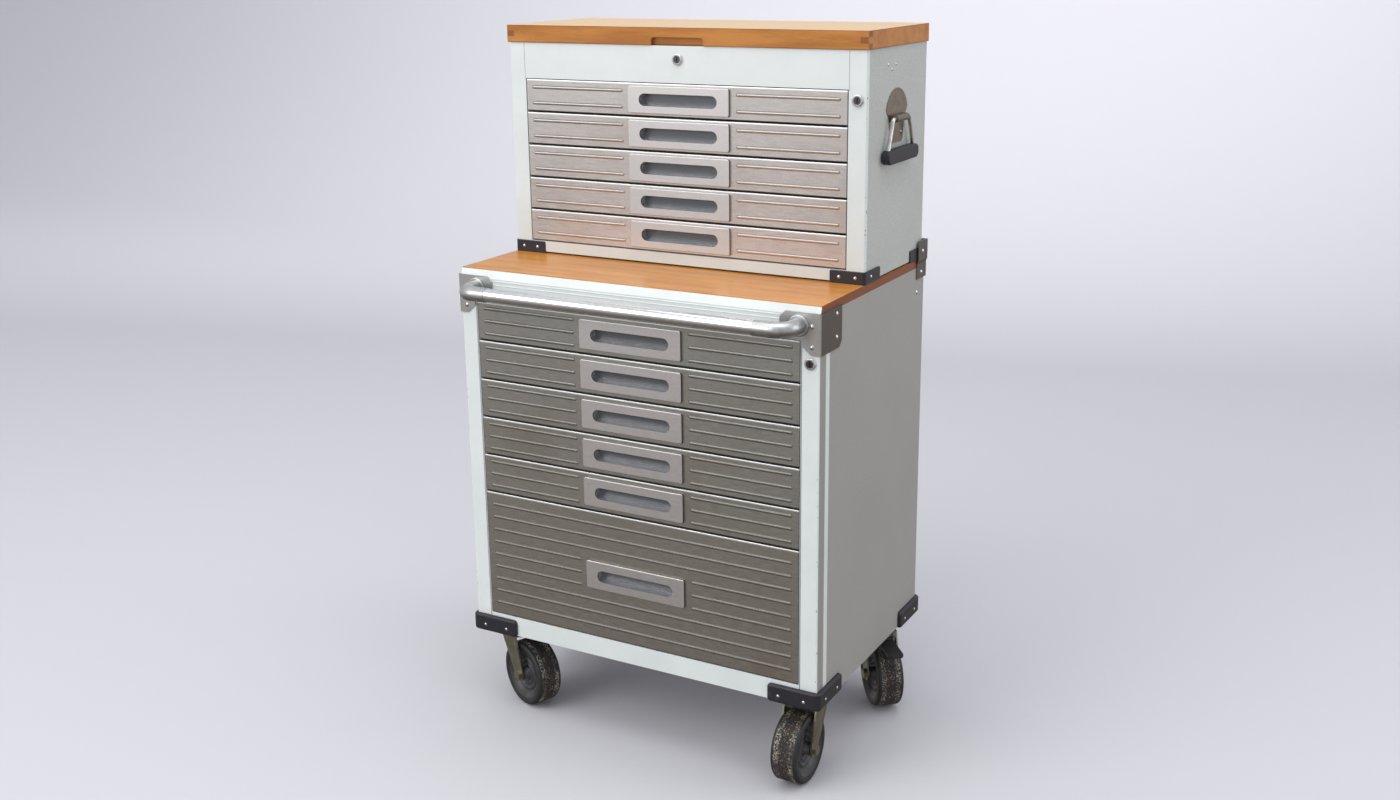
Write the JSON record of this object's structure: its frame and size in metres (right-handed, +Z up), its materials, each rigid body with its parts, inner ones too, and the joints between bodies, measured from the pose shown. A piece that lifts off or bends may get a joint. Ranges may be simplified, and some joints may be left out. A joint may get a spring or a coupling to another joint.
{
  "type": "rolling tool cabinet with top chest",
  "caption": "Rolling steel tool cabinet with ribbed stainless drawers, a wood worktop, push handle and swivel casters, carrying a separate lidded top chest.",
  "frame": {"origin": "on the floor, under the middle of the whole outline, push handle and bumpers included", "axes": "+Z up, -Y out of the drawer fronts, +X to the right of someone facing them"},
  "size_m": [0.7838, 0.5266, 1.2813],
  "materials": {
    "white_paint": "satin off-white paint",
    "grey_paint": "silver-grey textured paint",
    "inner_paint": "grey paint",
    "worktop_wood": "clear-lacquered",
    "rail_steel": "zinc plated",
    "handle_chrome": "polished",
    "satin_steel": "satin",
    "rivet_steel": "plated",
    "black_plastic": "moulded",
    "lock_chrome": "polished",
    "zinc": "zinc plated",
    "bail_chrome": "polished, black grip",
    "stainless": "brushed stainless",
    "lid_wood": "clear-lacquered",
    "tyre_rubber": "worn, dirty tread",
    "pedal_plastic": "black"
  },
  "bodies": {
    "cabinet": {"cabinet_front_frame": "white_paint", "cabinet_shell": "grey_paint", "cabinet_floor_pan": "inner_paint", "worktop_board": "worktop_wood", "cabinet_slide_rails": "rail_steel", "handle_tube": "handle_chrome", "handle_elbows": "satin_steel", "corner_brackets": "satin_steel", "cabinet_rivets": "rivet_steel", "cabinet_bumpers": "black_plastic", "cabinet_lock_body": "lock_chrome", "caster_plates": "zinc"},
    "chest": {"chest_front_frame": "white_paint", "chest_shell": "grey_paint", "chest_floors": "inner_paint", "chest_slide_rails": "rail_steel", "chest_bumpers": "black_plastic", "chest_rivets": "rivet_steel", "chest_lock_bodies": "lock_chrome", "lid_hinge_fixed_leaf": "rail_steel", "bail_plates": "bail_chrome"},
    "drawer_1": {"drawer_1_box": "inner_paint", "drawer_1_front": "stainless"},
    "drawer_2": {"drawer_2_box": "inner_paint", "drawer_2_front": "stainless"},
    "drawer_3": {"drawer_3_box": "inner_paint", "drawer_3_front": "stainless"},
    "drawer_4": {"drawer_4_box": "inner_paint", "drawer_4_front": "stainless"},
    "drawer_5": {"drawer_5_box": "inner_paint", "drawer_5_front": "stainless"},
    "drawer_6": {"drawer_6_box": "inner_paint", "drawer_6_front": "stainless"},
    "chest_drawer_1": {"chest_drawer_1_box": "inner_paint", "chest_drawer_1_front": "stainless"},
    "chest_drawer_2": {"chest_drawer_2_box": "inner_paint", "chest_drawer_2_front": "stainless"},
    "chest_drawer_3": {"chest_drawer_3_box": "inner_paint", "chest_drawer_3_front": "stainless"},
    "chest_drawer_4": {"chest_drawer_4_box": "inner_paint", "chest_drawer_4_front": "stainless"},
    "chest_drawer_5": {"chest_drawer_5_box": "inner_paint", "chest_drawer_5_front": "stainless"},
    "lid": {"lid": "lid_wood", "lid_hinge_moving_leaf": "rail_steel"},
    "bail_left": {"bail_left": "bail_chrome"},
    "bail_right": {"bail_right": "bail_chrome"},
    "cabinet_lock": {"cabinet_lock_plug": "lock_chrome"},
    "chest_lock": {"chest_lock_plug": "lock_chrome"},
    "lid_lock": {"lid_lock_plug": "lock_chrome"},
    "caster_front_left": {"caster_fork_front_left": "zinc"},
    "wheel_front_left": {"wheel_front_left": "tyre_rubber"},
    "caster_front_right": {"caster_fork_front_right": "zinc"},
    "wheel_front_right": {"wheel_front_right": "tyre_rubber"},
    "caster_rear_left": {"caster_fork_rear_left": "zinc"},
    "wheel_rear_left": {"wheel_rear_left": "tyre_rubber"},
    "pedal_rear_left": {"brake_pedal_rear_left": "pedal_plastic"},
    "caster_rear_right": {"caster_fork_rear_right": "zinc"},
    "wheel_rear_right": {"wheel_rear_right": "tyre_rubber"},
    "pedal_rear_right": {"brake_pedal_rear_right": "pedal_plastic"}
  },
  "joints": [
    {"name": "chest_lift", "type": "slide", "parent": "cabinet", "child": "chest", "axis": [0, 0, 1], "range_m": [0, 0.08]},
    {"name": "drawer_1_slide", "type": "slide", "parent": "cabinet", "child": "drawer_1", "axis": [0, -1, 0], "range_m": [0, 0.36]},
    {"name": "drawer_2_slide", "type": "slide", "parent": "cabinet", "child": "drawer_2", "axis": [0, -1, 0], "range_m": [0, 0.36]},
    {"name": "drawer_3_slide", "type": "slide", "parent": "cabinet", "child": "drawer_3", "axis": [0, -1, 0], "range_m": [0, 0.36]},
    {"name": "drawer_4_slide", "type": "slide", "parent": "cabinet", "child": "drawer_4", "axis": [0, -1, 0], "range_m": [0, 0.36]},
    {"name": "drawer_5_slide", "type": "slide", "parent": "cabinet", "child": "drawer_5", "axis": [0, -1, 0], "range_m": [0, 0.36]},
    {"name": "drawer_6_slide", "type": "slide", "parent": "cabinet", "child": "drawer_6", "axis": [0, -1, 0], "range_m": [0, 0.36]},
    {"name": "chest_drawer_1_slide", "type": "slide", "parent": "chest", "child": "chest_drawer_1", "axis": [0, -1, 0], "range_m": [0, 0.19]},
    {"name": "chest_drawer_2_slide", "type": "slide", "parent": "chest", "child": "chest_drawer_2", "axis": [0, -1, 0], "range_m": [0, 0.19]},
    {"name": "chest_drawer_3_slide", "type": "slide", "parent": "chest", "child": "chest_drawer_3", "axis": [0, -1, 0], "range_m": [0, 0.19]},
    {"name": "chest_drawer_4_slide", "type": "slide", "parent": "chest", "child": "chest_drawer_4", "axis": [0, -1, 0], "range_m": [0, 0.19]},
    {"name": "chest_drawer_5_slide", "type": "slide", "parent": "chest", "child": "chest_drawer_5", "axis": [0, -1, 0], "range_m": [0, 0.19]},
    {"name": "lid_hinge", "type": "hinge", "parent": "chest", "child": "lid", "pos_m": [0, 0.2469, 1.25015], "axis": [-1, 0, 0], "range_deg": [0, 95]},
    {"name": "bail_left_hinge", "type": "hinge", "parent": "chest", "child": "bail_left", "pos_m": [-0.3635, 0.1036, 1.13], "axis": [0, 1, 0], "range_deg": [0, 90]},
    {"name": "bail_right_hinge", "type": "hinge", "parent": "chest", "child": "bail_right", "pos_m": [0.3635, 0.1036, 1.13], "axis": [0, -1, 0], "range_deg": [0, 90]},
    {"name": "cabinet_lock_turn", "type": "hinge", "parent": "cabinet", "child": "cabinet_lock", "pos_m": [0.339, -0.2019, 0.767], "axis": [0, 1, 0], "range_deg": [0, 90]},
    {"name": "chest_lock_turn", "type": "hinge", "parent": "chest", "child": "chest_lock", "pos_m": [0.338, -0.0239, 1.169], "axis": [0, 1, 0], "range_deg": [0, 90]},
    {"name": "lid_lock_turn", "type": "hinge", "parent": "chest", "child": "lid_lock", "pos_m": [0, -0.0239, 1.227], "axis": [0, 1, 0], "range_deg": [0, 90]},
    {"name": "swivel_front_left", "type": "hinge", "parent": "cabinet", "child": "caster_front_left", "pos_m": [-0.305, -0.1334, 0.136], "axis": [0, 0, 1], "continuous": true},
    {"name": "roll_front_left", "type": "hinge", "parent": "caster_front_left", "child": "wheel_front_left", "pos_m": [-0.27255, -0.14651, 0.0635], "axis": [0.3746, 0.9272, 0], "continuous": true},
    {"name": "swivel_front_right", "type": "hinge", "parent": "cabinet", "child": "caster_front_right", "pos_m": [0.305, -0.1334, 0.136], "axis": [0, 0, 1], "continuous": true},
    {"name": "roll_front_right", "type": "hinge", "parent": "caster_front_right", "child": "wheel_front_right", "pos_m": [0.305, -0.1684, 0.0635], "axis": [1, 0, 0], "continuous": true},
    {"name": "swivel_rear_left", "type": "hinge", "parent": "cabinet", "child": "caster_rear_left", "pos_m": [-0.305, 0.1866, 0.136], "axis": [0, 0, 1], "continuous": true},
    {"name": "roll_rear_left", "type": "hinge", "parent": "caster_rear_left", "child": "wheel_rear_left", "pos_m": [-0.3275, 0.15979, 0.0635], "axis": [0.766, -0.6428, 0], "continuous": true},
    {"name": "brake_rear_left", "type": "hinge", "parent": "caster_rear_left", "child": "pedal_rear_left", "pos_m": [-0.33457, 0.15136, 0.135], "axis": [0.766, -0.6428, 0], "range_deg": [0, 20]},
    {"name": "swivel_rear_right", "type": "hinge", "parent": "cabinet", "child": "caster_rear_right", "pos_m": [0.305, 0.1866, 0.136], "axis": [0, 0, 1], "continuous": true},
    {"name": "roll_rear_right", "type": "hinge", "parent": "caster_rear_right", "child": "wheel_rear_right", "pos_m": [0.3275, 0.15979, 0.0635], "axis": [0.766, 0.6428, 0], "continuous": true},
    {"name": "brake_rear_right", "type": "hinge", "parent": "caster_rear_right", "child": "pedal_rear_right", "pos_m": [0.33457, 0.15136, 0.135], "axis": [0.766, 0.6428, 0], "range_deg": [0, 20]}
  ]
}
